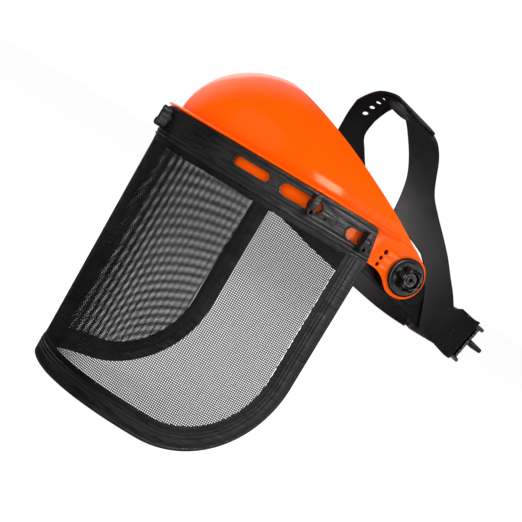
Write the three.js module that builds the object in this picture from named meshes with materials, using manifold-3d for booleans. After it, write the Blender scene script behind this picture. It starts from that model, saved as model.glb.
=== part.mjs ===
// Mesh face shield: an orange brow guard that carries a mesh visor, hinged at two side knobs on a
// black headband with a crown strap and a nape ratchet.
// Millimetres. +Z is up as worn, -Y is the way the wearer looks, +X is the wearer's left.
// The origin is the middle of the hinge axis that runs along X through both side knobs.
import * as THREE from "three";
import { mergeVertices } from "three/addons/utils/BufferGeometryUtils.js";
import Module from "manifold-3d";

const wasm = await Module();
wasm.setup();

// ---- driving dimensions ----
const GAP = 0.4; // play between neighbouring pieces
const VISOR = {
  halfWidth: 100,
  depth: 147, // from the rear edges to the front
  rearY: -33.5,
  roundness: 2.2, // exponent of the superellipse seen from above
  top: 20,
  bottom: -193,
  taper: 0.017 / 100, // the depth shrinks by this share for each millimetre down
  thickness: 2.4,
  bandHeight: 28,
  border: 18,
  mesh: 0.3, // thickness of the sheet that stands for the woven wire
  corner: 83, // radius of the two lower corners, measured on the flat sheet
  topCorner: 5, // radius of the two upper corners
  topSlant: 4.5, // how far the rear edges lean forward along the band
};
const SLOTS = [
  { middle: 0, z: 10.2, halfLength: 3.7, halfHeight: 3.6 },
  { middle: 93, z: 10.2, halfLength: 14, halfHeight: 3.3 },
  { middle: 133, z: 10, halfLength: 16.5, halfHeight: 4.5 },
  { middle: 183, z: 7, halfLength: 10.5, halfHeight: 4.5 },
];
const BUTTON = { length: 16.5, width: 6.2, proud: 8, shank: 2.6, clip: 5.2 };
const BUTTON_PLACES = {
  front: { s: 0, z: 10.2 },
  mid_left: { s: 141.5, z: 10.5 },
  rear_left: { s: 187, z: 6.5 },
  mid_right: { s: -141.5, z: 10.5 },
  rear_right: { s: -187, z: 6.5 },
};
const BROW = {
  wall: 2.4,
  skirtBottom: -5,
  lipWidth: 3, // how far the lip stands out past the visor
  lipThick: 2.2,
  lipRearY: -18,
  inset: 3, // the dome's foot lies this far inside the visor at the sides
  frontInset: 7, // and this far at the front
  height: 61,
  apexY: -106, // behind this the dome is a tunnel of constant height
  rearSlope: 0.537, // rise of the rear edge for each millimetre forward
  armEnd: 16.8,
  armLow: -5,
};
const DETENT_HOLES = { radius: 1.5, distance: 24.6, angles: [160, 172.5, 184.5] };
const HINGE = { bolt: 3, boltHead: 8, bushing: 8, washer: 13.5, knob: 14.5, hub: 8, hubHeight: 11.5 };
const BAND = {
  tilt: 11.8, // degrees by which the headband drops towards the nape
  halfWidth: 84, // inner face
  front: -106,
  rear: 121,
  roundness: 2.1,
  low: -18.5,
  hingeHigh: 14.5, // upper edge beside the hinge
  high: 19, // upper edge elsewhere
  napeRise: 7, // how far the band climbs behind the head
  thick: 1.8,
};
const FRONT_STRAP = { turn: 112, high: 24, backHigh: 13, lowStep: 0.8, stepTurn: 88.7, frontLow: 2 };
const TAB = { from: 80, to: 104, low: -9 }; // the side piece's tab round the hinge bolt
// Where the side piece starts, at its lower and upper edge, and where its full height ends.
const SIDE_START = { low: 109, high: 94, end: 153.4 };
const CROWN = { top: 100.5, roundness: 2.5, thick: 1.3, hole: 2.2, peg: 1.6, pegHead: 2.8 };
// Edges of the two halves of the crown strap: share of the way up the arch, distance back from the hinge.
const STRAP_FRONT_EDGE = [
  [0.02, 12], [0.07, 5], [0.1, -16], [0.13, -33], [0.22, -36],
  [0.32, -40], [0.42, -46], [0.52, -52], [0.64, -57.5],
];
const LEFT_REAR_EDGE = [
  [0.02, 66], [0.07, 50], [0.11, 37], [0.16, 24], [0.21, 11],
  [0.27, -3], [0.34, -14], [0.45, -19.5], [0.64, -23],
];
const RIGHT_REAR_EDGE = [
  [0.02, 66], [0.07, 54], [0.12, 44], [0.19, 32], [0.28, 15],
  [0.36, 0], [0.43, -13], [0.51, -26], [0.64, -33],
];
const RIGHT_FORWARD = 2; // the right half lies this far in front of the left one
// The strap's edges over the crown, and the rear edge beyond it.
const LEFT_TONGUE = { front: -57, rear: -26, beyond: -38 };
const RIGHT_TONGUE = { front: -60, rear: -41, beyond: -26 };
const HOLE_LINE = { crown: -51, low: -44 };
const RATCHET = {
  halfAngle: 26,
  low: -17.5,
  high: 16.8,
  cover: 7.6, // height of the housing over the band
  flange: 10.5, // height of its upper and lower rims
  flangeWidth: 3,
  wall: 1.8,
  axisUp: 2.5, // the knob's axis lies this far above the housing's middle
  knob: 11,
  knobHeight: 13.5,
  grip: 12.5,
};
const PAD = { thick: 5, halfAngle: 46, low: 4, high: 22 };

const rad = THREE.MathUtils.degToRad;

// ---- solids ----

// A closed three.js geometry as a manifold-3d solid.
function solidOf(geometry) {
  const bare = geometry.index ? geometry.toNonIndexed() : geometry.clone();
  for (const name of ["normal", "uv"]) bare.deleteAttribute(name);
  const merged = mergeVertices(bare, 1e-4);
  const mesh = new wasm.Mesh({
    numProp: 3,
    vertProperties: merged.attributes.position.array,
    triVerts: new Uint32Array(merged.index.array),
  });
  return new wasm.Manifold(mesh);
}

function geometryOf(solid) {
  const mesh = solid.getMesh();
  const geometry = new THREE.BufferGeometry();
  geometry.setAttribute("position", new THREE.BufferAttribute(mesh.vertProperties, 3));
  geometry.setIndex(new THREE.BufferAttribute(mesh.triVerts, 1));
  return geometry;
}

function join(...geometries) {
  return geometryOf(geometries.map(solidOf).reduce((sum, next) => sum.add(next)));
}

function cut(geometry, ...cutters) {
  return geometryOf(cutters.map(solidOf).reduce((rest, next) => rest.subtract(next), solidOf(geometry)));
}

function signedVolume(positions, faces) {
  const [a, b, c] = [new THREE.Vector3(), new THREE.Vector3(), new THREE.Vector3()];
  let sum = 0;
  for (let i = 0; i < faces.length; i += 3) {
    a.fromArray(positions, faces[i] * 3);
    b.fromArray(positions, faces[i + 1] * 3);
    c.fromArray(positions, faces[i + 2] * 3);
    sum += a.dot(b.cross(c));
  }
  return sum;
}

// A curved plate: point(u, v, side) gives its two faces, side 0 and side 1, for u and v from 0 to 1.
function curvedPlate(columns, rows, point) {
  const positions = [];
  const faces = [];
  const corner = (i, j, side) => (side * (rows + 1) + j) * (columns + 1) + i;
  for (const side of [0, 1])
    for (let j = 0; j <= rows; j++)
      for (let i = 0; i <= columns; i++) positions.push(...point(i / columns, j / rows, side).toArray());
  const quad = (a, b, c, d) => faces.push(a, b, c, a, c, d);
  for (let j = 0; j < rows; j++)
    for (let i = 0; i < columns; i++) {
      quad(corner(i, j, 0), corner(i, j + 1, 0), corner(i + 1, j + 1, 0), corner(i + 1, j, 0));
      quad(corner(i, j, 1), corner(i + 1, j, 1), corner(i + 1, j + 1, 1), corner(i, j + 1, 1));
    }
  for (let i = 0; i < columns; i++) {
    quad(corner(i, 0, 0), corner(i + 1, 0, 0), corner(i + 1, 0, 1), corner(i, 0, 1));
    quad(corner(i, rows, 0), corner(i, rows, 1), corner(i + 1, rows, 1), corner(i + 1, rows, 0));
  }
  for (let j = 0; j < rows; j++) {
    quad(corner(0, j, 0), corner(0, j, 1), corner(0, j + 1, 1), corner(0, j + 1, 0));
    quad(corner(columns, j, 0), corner(columns, j + 1, 0), corner(columns, j + 1, 1), corner(columns, j, 1));
  }
  if (signedVolume(positions, faces) < 0)
    for (let i = 0; i < faces.length; i += 3) [faces[i], faces[i + 1]] = [faces[i + 1], faces[i]];
  const geometry = new THREE.BufferGeometry();
  geometry.setAttribute("position", new THREE.Float32BufferAttribute(positions, 3));
  geometry.setIndex(faces);
  return geometry;
}

// A turned piece about +Z from its [radius, height] outline.
function turned(outline, segments = 28) {
  const points = outline.map(([r, z]) => new THREE.Vector2(r, z));
  return new THREE.LatheGeometry(points, segments).rotateX(Math.PI / 2);
}

// A round bar along +Z from low to high.
function bar(radius, low, high, segments = 20) {
  return turned([[0, low], [radius, low], [radius, high], [0, high]], segments);
}

// A ring about +Z.
function ring(inner, outer, low, high, segments = 28) {
  return turned([[inner, low], [outer, low], [outer, high], [inner, high], [inner, low]], segments);
}

// A plate with round ends in the XY plane, from low to high along Z.
function stadium(halfLength, halfWidth, low, high, steps = 6) {
  const straight = halfLength - halfWidth;
  const shape = new THREE.Shape();
  shape.absarc(straight, 0, halfWidth, -Math.PI / 2, Math.PI / 2, false);
  shape.absarc(-straight, 0, halfWidth, Math.PI / 2, (3 * Math.PI) / 2, false);
  const options = { depth: high - low, bevelEnabled: false, curveSegments: steps };
  return new THREE.ExtrudeGeometry(shape, options).translate(0, 0, low);
}

// A flat outline drawn in Y and Z, extruded along X.
function acrossX(shape, from, to, steps = 10) {
  const options = { depth: to - from, bevelEnabled: false, curveSegments: steps };
  const flat = new THREE.ExtrudeGeometry(shape, options);
  const [x, y, z] = [new THREE.Vector3(1, 0, 0), new THREE.Vector3(0, 1, 0), new THREE.Vector3(0, 0, 1)];
  return flat.applyMatrix4(new THREE.Matrix4().makeBasis(y, z, x)).translate(from, 0, 0);
}

// ---- the visor's bent sheet ----

// Points along a superellipse that opens backwards, with the distance walked from its front.
function openOval(halfWidth, depth, rearY, roundness, steps = 600) {
  const rows = [];
  let walked = 0;
  for (let i = 0; i <= steps; i++) {
    const t = ((i / steps) * Math.PI) / 2;
    const x = halfWidth * Math.sin(t) ** (2 / roundness);
    const y = rearY - depth * Math.cos(t) ** (2 / roundness);
    if (i) walked += Math.hypot(x - rows[i - 1].x, y - rows[i - 1].y);
    rows.push({ x, y, walked });
  }
  return rows;
}

const plan = openOval(VISOR.halfWidth, VISOR.depth, VISOR.rearY, VISOR.roundness);
const SHEET = plan.at(-1).walked; // half of the flat sheet's width

// Place and outward normal on an oval at the signed distance s from its front.
function along(rows, s) {
  const distance = Math.abs(s);
  const last = rows.at(-1);
  const sign = s < 0 ? -1 : 1;
  if (distance >= last.walked)
    return { x: sign * last.x, y: last.y + distance - last.walked, nx: sign, ny: 0 };
  const next = Math.max(1, rows.findIndex((row) => row.walked > distance));
  const [a, b] = [rows[next - 1], rows[next]];
  const share = (distance - a.walked) / (b.walked - a.walked);
  const slope = new THREE.Vector2(b.y - a.y, a.x - b.x).normalize();
  const x = a.x + share * (b.x - a.x);
  const y = a.y + share * (b.y - a.y);
  if (distance < 1e-9) return { x: 0, y, nx: 0, ny: -1 };
  return { x: sign * x, y, nx: sign * slope.x, ny: slope.y };
}

// A point of the visor: s along the sheet, z up, and out from its middle surface.
function onVisor(s, z, out) {
  const at = along(plan, s);
  const shrink = 1 + VISOR.taper * (z - VISOR.top);
  const y = VISOR.rearY + (at.y - VISOR.rearY) * shrink;
  return new THREE.Vector3(at.x + at.nx * out, y + at.ny * out, z);
}

const lerp = THREE.MathUtils.lerp;
const spread = (u, half) => lerp(-half, half, u);
const sideOut = (side) => (side - 0.5) * VISOR.thickness;

// Path of the border on the flat sheet, from one top corner down, across and up, inset by a distance.
function borderPath(u, inset) {
  const half = SHEET - inset;
  const low = VISOR.bottom + inset;
  const radius = VISOR.corner - inset;
  const high = VISOR.top - VISOR.bandHeight + 2;
  const legs = [high - (VISOR.bottom + VISOR.corner), (VISOR.corner * Math.PI) / 2, SHEET - VISOR.corner];
  const total = legs[0] + legs[1] + legs[2];
  const sign = u < 0.5 ? -1 : 1;
  let walked = total * (1 - Math.abs(2 * u - 1));
  if (walked <= legs[0]) return { s: sign * half, z: lerp(high, low + radius, walked / legs[0]) };
  walked -= legs[0];
  if (walked <= legs[1]) {
    const angle = walked / VISOR.corner;
    const s = sign * (half - radius + radius * Math.cos(angle));
    return { s, z: low + radius - radius * Math.sin(angle) };
  }
  walked -= legs[1];
  return { s: sign * (half - radius) * (1 - walked / legs[2]), z: low };
}

// Turns a geometry made about the origin, with +Z out, to stand on the visor at s and z.
function standOnVisor(geometry, s, z, out = 0) {
  const at = along(plan, s);
  const foot = onVisor(s, z, out);
  const outward = new THREE.Vector3(at.nx, at.ny, 0);
  const upward = new THREE.Vector3(0, 0, 1);
  const sideways = new THREE.Vector3().crossVectors(upward, outward);
  const matrix = new THREE.Matrix4().makeBasis(sideways, upward, outward).setPosition(foot);
  return geometry.applyMatrix4(matrix);
}

function visorFrame() {
  const bandLow = VISOR.top - VISOR.bandHeight;
  const band = curvedPlate(36, 1, (u, v, side) =>
    onVisor(spread(u, SHEET), lerp(bandLow, VISOR.top, v), sideOut(side)));
  const border = curvedPlate(64, 1, (u, v, side) => {
    const { s, z } = borderPath(u, v * VISOR.border);
    return onVisor(s, z, sideOut(side));
  });
  const cutters = [];
  for (const slot of SLOTS)
    for (const sign of slot.middle ? [-1, 1] : [1]) {
      const hole = stadium(slot.halfLength, slot.halfHeight, -6, 6);
      cutters.push(standOnVisor(hole, sign * slot.middle, slot.z));
    }
  const [rear, top, radius] = [VISOR.rearY, VISOR.top, VISOR.topCorner];
  const leant = rear - VISOR.topSlant;
  const outside = new THREE.Shape();
  outside.moveTo(rear + 2, top + 2);
  outside.lineTo(rear + 2, bandLow + 3);
  outside.lineTo(rear, bandLow + 3);
  outside.lineTo(leant, top - radius);
  outside.quadraticCurveTo(leant, top, leant - radius, top);
  outside.lineTo(leant - radius, top + 2);
  return cut(join(band, border), ...cutters, acrossX(outside, -120, 120));
}

function visorMesh() {
  const inset = VISOR.border + GAP;
  const half = SHEET - inset;
  const low = VISOR.bottom + inset;
  const radius = VISOR.corner - inset;
  const high = VISOR.top - VISOR.bandHeight - GAP;
  return curvedPlate(32, 4, (u, v, side) => {
    const s = spread(u, half);
    const past = Math.max(0, Math.abs(s) - (half - radius));
    const foot = low + radius - Math.sqrt(Math.max(0, radius ** 2 - past ** 2));
    return onVisor(s, lerp(foot, high, v), (side - 0.5) * VISOR.mesh);
  });
}

// ---- the brow guard ----

const domePlan = openOval(
  VISOR.halfWidth - BROW.inset,
  VISOR.depth - BROW.frontInset,
  VISOR.rearY,
  VISOR.roundness,
);

// A point of the dome: s along its foot, lift from 0 at the foot to 1 at the crown, and depth below the skin.
function onDome(s, lift, depth) {
  const at = along(domePlan, s);
  const middleY = Math.max(at.y, BROW.apexY);
  const angle = (lift * Math.PI) / 2;
  const x = (at.x - at.nx * depth) * Math.cos(angle);
  const y = middleY + (at.y - at.ny * depth - middleY) * Math.cos(angle);
  return new THREE.Vector3(x, y, VISOR.top + 1 + (BROW.height - depth) * Math.sin(angle));
}

function browDome() {
  const half = domePlan.at(-1).walked + 48;
  return ["left", "right"].map((side) => {
    const sign = side === "left" ? 1 : -1;
    return curvedPlate(22, 9, (u, v, inner) => {
      const point = onDome(half * u, v, inner ? 0 : BROW.wall);
      if (u === 0 || v === 1) point.x = -0.01;
      point.x *= sign;
      return point;
    });
  });
}

// The flat outline of an arm, seen from the side, with its round end about the hinge.
function armOutline() {
  const slopeAngle = Math.atan(BROW.rearSlope);
  const shape = new THREE.Shape();
  shape.moveTo(VISOR.rearY - 5, VISOR.top + 1.5);
  shape.lineTo(VISOR.rearY - 5, BROW.armLow);
  shape.lineTo(-27, BROW.armLow);
  shape.quadraticCurveTo(-17, BROW.armLow - 1, -12, -BROW.armEnd * 0.7);
  shape.absarc(0, 0, BROW.armEnd, Math.PI * 1.26, Math.PI * 2 + Math.PI / 2 - slopeAngle, false);
  shape.lineTo(-4, VISOR.top + 1.5);
  return shape;
}

function browArm(sign) {
  const outer = VISOR.halfWidth - VISOR.thickness / 2 - GAP;
  const inner = outer - BROW.wall;
  return sign > 0 ? acrossX(armOutline(), inner, outer) : acrossX(armOutline(), -outer, -inner);
}

function browLip() {
  const half = SHEET + (BROW.lipRearY - VISOR.rearY);
  const low = VISOR.top + GAP;
  return curvedPlate(40, 1, (u, v, side) => {
    const s = spread(u, half);
    const fade = Math.min(1, (half - Math.abs(s)) / 25);
    const at = along(plan, s);
    const inner = -BROW.frontInset - 2 + 4 * Math.min(1, Math.abs(s) / SHEET);
    const out = v ? lerp(-1.2, BROW.lipWidth, fade ** 0.5) : inner;
    return new THREE.Vector3(at.x + at.nx * out, at.y + at.ny * out, side ? low + BROW.lipThick : low);
  });
}

function browSkirt() {
  const outer = -VISOR.thickness / 2 - GAP;
  return curvedPlate(36, 1, (u, v, side) => {
    const z = lerp(BROW.skirtBottom, VISOR.top + 1.5, v);
    return onVisor(spread(u, SHEET + 1), z, outer - (side ? 0 : BROW.wall));
  });
}

function hingeHole(radius) {
  return bar(radius, -130, 130, 24).rotateY(Math.PI / 2);
}

function browGuard() {
  const [left, right] = browDome();
  const whole = join(left, right, browSkirt(), browLip(), browArm(1), browArm(-1));
  const rise = Math.atan(BROW.rearSlope);
  const beyond = new THREE.BoxGeometry(260, 300, 200).translate(0, 0, 100 + BROW.armEnd - 0.5);
  beyond.rotateX(-rise);
  const cutters = [beyond, hingeHole(HINGE.bolt + 1.6)];
  for (const sign of [-1, 1])
    for (const angle of DETENT_HOLES.angles) {
      const hole = bar(DETENT_HOLES.radius, -6, 6, 12).rotateY(Math.PI / 2);
      const y = DETENT_HOLES.distance * Math.cos(rad(angle));
      const z = DETENT_HOLES.distance * Math.sin(rad(angle));
      cutters.push(hole.translate(sign * (VISOR.halfWidth - 2), y, z));
    }
  for (const { s, z } of Object.values(BUTTON_PLACES))
    cutters.push(standOnVisor(bar(BUTTON.shank + GAP, -8, 3, 16), s, z));
  return cut(whole, ...cutters);
}

// ---- turn buttons that hold the visor on the brow guard ----

function turnButton({ s, z }) {
  const low = VISOR.thickness / 2 + GAP;
  const inside = -VISOR.thickness / 2 - 2 * GAP - BROW.wall - 2.6;
  const grip = stadium(BUTTON.length / 2, BUTTON.width / 2, low, low + BUTTON.proud).rotateZ(Math.PI / 2);
  const shank = bar(BUTTON.shank, inside, low + 1);
  const boss = bar(1.9, low + BUTTON.proud - 1, low + BUTTON.proud + 0.8, 14);
  boss.translate(0, -BUTTON.length / 2 + 3.1, 0);
  return standOnVisor(join(grip, shank, boss), s, z);
}

function buttonClip({ s, z }) {
  const outer = -VISOR.thickness / 2 - 2 * GAP - BROW.wall;
  return standOnVisor(ring(BUTTON.shank + 0.3, BUTTON.clip, outer - 1.2, outer, 20), s, z);
}

// ---- hinge at one side; made pointing along +X and mirrored for the right side ----

const ARM_OUTER = VISOR.halfWidth - VISOR.thickness / 2 - GAP;
const ARM_INNER = ARM_OUTER - BROW.wall;
const SIDE_INNER = BAND.thick + 0.8; // the side pieces lie outside the front strap
const SIDE_OUTER = SIDE_INNER + BAND.thick;
const PLATE_OUTER = BAND.halfWidth + SIDE_OUTER;

function hingeBolt() {
  const head = BAND.halfWidth - 1.2;
  const body = join(bar(HINGE.boltHead, head - 2.2, head, 28), bar(HINGE.bolt, head - 1, ARM_OUTER + 10));
  const socket = bar(1.8, ARM_OUTER + 7, ARM_OUTER + 11, 6);
  return cut(body, socket);
}

function hingeBushing() {
  const inner = HINGE.bolt + 0.4;
  const flange = PLATE_OUTER + GAP;
  return turned([
    [inner, flange], [HINGE.washer - 1, flange], [HINGE.washer - 1, flange + 1.8],
    [HINGE.bushing, flange + 3.4],
    [HINGE.bushing, ARM_INNER - 1.6], [inner, ARM_INNER - 1.6], [inner, flange],
  ]);
}

function frictionWasher() {
  return ring(HINGE.bolt + 0.4, HINGE.washer, ARM_INNER - 1.2, ARM_INNER - GAP);
}

function sideKnob() {
  const foot = ARM_OUTER + GAP;
  const top = foot + HINGE.hubHeight;
  const disc = turned([
    [HINGE.bolt + 2.4, foot], [HINGE.knob - 0.6, foot], [HINGE.knob, foot + 0.8], [HINGE.knob, foot + 2.4],
    [HINGE.knob - 1, foot + 3.2], [HINGE.bolt + 2.4, foot + 3.6], [HINGE.bolt + 2.4, foot],
  ], 32);
  const hub = ring(HINGE.bolt + 2.4, HINGE.hub, foot + 2, top, 24);
  const lobes = [0, 1, 2, 3, 4, 5].map((i) => {
    const lobe = bar(2.2, foot + 2, top - 1.2, 10).translate(HINGE.hub - 0.4, 0, 0);
    return lobe.rotateZ((i * Math.PI) / 3);
  });
  return join(disc, hub, ...lobes);
}

function knobNut() {
  const foot = ARM_OUTER + GAP;
  return ring(HINGE.bolt + 0.3, HINGE.bolt + 2, foot + 0.2, foot + HINGE.hubHeight - 2.5, 24);
}

// Points a piece made along +Z to the wearer's left (+1) or right (-1).
function toSide(geometry, sign) {
  return geometry.rotateY((sign * Math.PI) / 2);
}

// ---- headband, made level and then tilted about the hinge axis ----

const BAND_MIDDLE = (BAND.front + BAND.rear) / 2;
const BAND_HALF = (BAND.rear - BAND.front) / 2;

// A point of the headband's oval: turn in degrees from the front, positive to the left, out from
// its inner face.
function onBand(turn, height, out) {
  const angle = rad(turn);
  const power = 2 / BAND.roundness;
  const x = Math.sign(Math.sin(angle)) * (BAND.halfWidth + out) * Math.abs(Math.sin(angle)) ** power;
  const y = BAND_MIDDLE - Math.sign(Math.cos(angle)) * (BAND_HALF + out) * Math.abs(Math.cos(angle)) ** power;
  const fromNape = Math.abs(180 - Math.abs(turn));
  const climb = BAND.napeRise * (1 - THREE.MathUtils.smoothstep(fromNape, 0, 50));
  return new THREE.Vector3(x, y, height + climb);
}

function bandStrip(from, to, low, high, inner, outer, columns) {
  return curvedPlate(columns, 1, (u, v, side) =>
    onBand(lerp(from, to, u), lerp(low, high, v), side ? outer : inner));
}

// The front strap reaches back past the hinges, under the side pieces.
function headbandFront() {
  const strip = curvedPlate(44, 1, (u, v, face) => {
    const turn = spread(u, FRONT_STRAP.turn);
    const back = THREE.MathUtils.smoothstep(Math.abs(turn), 55, 78);
    const side = THREE.MathUtils.smoothstep(Math.abs(turn), 48, 73);
    const step = FRONT_STRAP.lowStep * (Math.abs(turn) < FRONT_STRAP.stepTurn ? 1 : 0);
    const low = lerp(FRONT_STRAP.frontLow, BAND.low + step, side);
    return onBand(turn, lerp(low, lerp(FRONT_STRAP.high, FRONT_STRAP.backHigh, back), v), face * BAND.thick);
  });
  return cut(strip, hingeHole(HINGE.bolt + 0.4));
}

// A point of the arch over the head: share 0 at the band, 1 at the crown, 2 at the other side.
function onArch(share, y, out) {
  const angle = (share * Math.PI) / 2;
  const power = 2 / CROWN.roundness;
  const narrow = (1 - Math.abs((y - BAND_MIDDLE) / BAND_HALF) ** BAND.roundness) ** (1 / BAND.roundness);
  const x = Math.sign(Math.cos(angle)) * (BAND.halfWidth + out) * narrow * Math.abs(Math.cos(angle)) ** power;
  const z = (CROWN.top + out) * Math.sin(angle) ** power;
  return new THREE.Vector3(x, y, z);
}

// The broad foot of the crown strap, which leans forward as it rises from the band.
function strapFoot(rearEdge, forward, inner, outer) {
  const [front, rear] = [STRAP_FRONT_EDGE, rearEdge].map(
    (edge) => new THREE.SplineCurve(edge.map(([share, y]) => new THREE.Vector2(share, y))));
  return curvedPlate(24, 4, (u, v, side) => {
    const [share, y] = front.getPoint(u).lerp(rear.getPoint(u), v).toArray();
    return onArch(share, y - forward * (1 - v) * u, side ? outer : inner);
  });
}

// The strap between the foot and its end over the crown: it narrows from the foot's top to the tongue.
function strapRun(rearEdge, tongue, forward, from, to, inner, outer) {
  const [start, frontStart] = STRAP_FRONT_EDGE.at(-1);
  const rearStart = rearEdge.at(-1)[1];
  return curvedPlate(12, 1, (u, v, side) => {
    const share = lerp(from, to, u);
    const narrowing = THREE.MathUtils.clamp((share - start) / (0.9 - start), 0, 1);
    const beyond = THREE.MathUtils.clamp((share - 1) / 0.2, 0, 1);
    const front = lerp(frontStart - forward, tongue.front, narrowing);
    const rear = lerp(lerp(rearStart, tongue.rear, narrowing), tongue.beyond, beyond);
    return onArch(share, lerp(front, rear, v), side ? outer : inner);
  });
}

// The rear band with its tab round the hinge bolt, and the foot of its half of the crown strap.
function headbandSide(rearEdge, forward, inner, outer) {
  const strip = curvedPlate(22, 1, (u, v, side) => {
    const turn = lerp(lerp(SIDE_START.low, SIDE_START.high, v), SIDE_START.end, u);
    const high = lerp(BAND.hingeHigh, BAND.high, THREE.MathUtils.clamp((turn - 110) / 35, 0, 1));
    return onBand(turn, lerp(BAND.low, high, v), side ? outer : inner);
  });
  const tab = bandStrip(TAB.from, TAB.to, TAB.low, BAND.hingeHigh, inner, outer, 6);
  const tail = bandStrip(150, 176, BAND.low + 8, BAND.high - 9, inner, outer, 8);
  return join(strip, tab, tail, strapFoot(rearEdge, forward, inner, outer));
}

// Holes and pegs stand square to the strap at the crown.
function atCrown(geometry, share) {
  const middle = lerp(HOLE_LINE.crown, HOLE_LINE.low, THREE.MathUtils.clamp((0.87 - share) / 0.25, 0, 1));
  const foot = onArch(share, middle, 0);
  const ahead = onArch(share + 0.01, middle, 0).sub(foot).normalize();
  const across = new THREE.Vector3(0, 1, 0);
  const up = new THREE.Vector3().crossVectors(ahead, across).normalize();
  if (up.z < 0) up.negate();
  const matrix = new THREE.Matrix4().makeBasis(new THREE.Vector3().crossVectors(across, up), across, up);
  return geometry.applyMatrix4(matrix.setPosition(foot));
}

const HOLE_PITCH = 0.08; // of the way up the arch
const PEG_SHARES = [0.974, 1.054];
const FREE_HOLES = [1, 2, 3, 4].map((step) => 2 - PEG_SHARES[1] - step * HOLE_PITCH); // in the right strap

// The left half carries two pegs at the crown.
function headbandLeft() {
  const top = SIDE_INNER + 2 * CROWN.thick + 1;
  const run = strapRun(LEFT_REAR_EDGE, LEFT_TONGUE, 0, 0.6, 1.1, SIDE_INNER, SIDE_INNER + CROWN.thick);
  const pegs = PEG_SHARES.map((share) => {
    const head = bar(CROWN.pegHead, top - 0.2, top + 1.2, 14);
    return atCrown(join(bar(CROWN.peg, SIDE_INNER + 0.5, top, 12), head), share);
  });
  const whole = join(headbandSide(LEFT_REAR_EDGE, 0, SIDE_INNER, SIDE_OUTER), run, ...pegs);
  return cut(whole, hingeHole(HINGE.bolt + 0.4));
}

// The right half, made on the left and mirrored, steps up over the crown to lie on the left one.
function headbandRight() {
  const [low, high] = [SIDE_INNER, SIDE_INNER + CROWN.thick];
  const lift = CROWN.thick + GAP;
  const run = (...span) => strapRun(RIGHT_REAR_EDGE, RIGHT_TONGUE, RIGHT_FORWARD, ...span);
  const whole = join(
    headbandSide(RIGHT_REAR_EDGE, RIGHT_FORWARD, SIDE_INNER, SIDE_OUTER),
    run(0.6, 0.86, low, high),
    run(0.83, 0.89, low, high + lift),
    run(0.86, 1.21, low + lift, high + lift),
  );
  const shares = [...PEG_SHARES.map((share) => 2 - share), ...FREE_HOLES];
  const holes = shares.map((share) => atCrown(bar(CROWN.hole, -3, 12, 14), share));
  return mirrored(cut(whole, hingeHole(HINGE.bolt + 0.4), ...holes));
}

// ---- nape ratchet ----

function ratchetPlate() {
  const turn = RATCHET.halfAngle;
  return bandStrip(180 - turn, 180 + turn, RATCHET.low, RATCHET.high, -RATCHET.wall - 0.3, -0.3, 16);
}

const RATCHET_MIDDLE = (RATCHET.low + RATCHET.high) / 2 + BAND.napeRise + RATCHET.axisUp;

function ratchetCover() {
  const [from, to] = [180 - RATCHET.halfAngle, 180 + RATCHET.halfAngle];
  const { low, high } = RATCHET;
  const block = bandStrip(from, to, low, high, 0.1, RATCHET.cover, 16);
  const rims = [[low, low + RATCHET.flangeWidth], [high - RATCHET.flangeWidth, high]].map(
    ([bottom, top]) => bandStrip(from, to, bottom, top, 0.1, RATCHET.flange, 16));
  const hollow = bandStrip(from - 4, to + 4, low + 3, high - 3, -2, RATCHET.cover - RATCHET.wall, 20);
  return cut(join(block, ...rims), hollow, ratchetAxis(bar(4.8, -5, 30)));
}

function ratchetAxis(geometry) {
  return geometry.rotateX(-Math.PI / 2).translate(0, BAND.rear, RATCHET_MIDDLE);
}

function ratchetKnob() {
  const foot = RATCHET.cover + GAP;
  const top = foot + RATCHET.knobHeight;
  const dome = turned([
    [2.2, foot], [RATCHET.knob, foot], [RATCHET.knob, foot + 4.5], [RATCHET.knob - 2.5, foot + 8],
    [RATCHET.knob - 6, top], [2.2, top], [2.2, foot],
  ], 32);
  const grip = stadium(RATCHET.knob - 1, 2, top - 2.4, top + RATCHET.grip);
  const bore = bar(2.2, foot - 1, top + 20, 16);
  return ratchetAxis(cut(join(dome, grip), bore));
}

function ratchetPinion() {
  const [low, high] = [0.6, RATCHET.cover - RATCHET.wall - 0.4];
  const teeth = 10;
  const body = ring(2.2, 3.6, low, RATCHET.cover + GAP - 0.3, 20);
  const cogs = Array.from({ length: teeth }, (_, i) =>
    new THREE.BoxGeometry(2.2, 1.4, high - low)
      .translate(4.2, 0, (low + high) / 2)
      .rotateZ((i * 2 * Math.PI) / teeth));
  return ratchetAxis(join(body, ...cogs));
}

function ratchetScrew() {
  const end = RATCHET.cover + RATCHET.knobHeight;
  return ratchetAxis(join(bar(1.8, -0.2, end + 0.6, 14), bar(2, end + 0.3, end + 1.4, 16)));
}

function sweatband() {
  return bandStrip(-PAD.halfAngle, PAD.halfAngle, PAD.low, PAD.high, -PAD.thick - 0.4, -0.4, 28);
}

// ---- assembly ----

const finish = {
  orange: { color: 0xff6205, roughness: 0.28, metalness: 0 },
  black: { color: 0x17171a, roughness: 0.45, metalness: 0 },
  strap: { color: 0x1f1d1f, roughness: 0.5, metalness: 0 },
  mesh: { color: 0x0c0c0e, roughness: 0.4, metalness: 0.6 },
  steel: { color: 0x9a9a9c, roughness: 0.3, metalness: 1 },
  nut: { color: 0x2a2218, roughness: 0.4, metalness: 1 },
  fabric: { color: 0x1a1a1c, roughness: 0.95, metalness: 0 },
};

function piece(name, geometry, look) {
  const mesh = new THREE.Mesh(geometry, new THREE.MeshStandardMaterial(finish[look]));
  mesh.name = name;
  return mesh;
}

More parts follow.
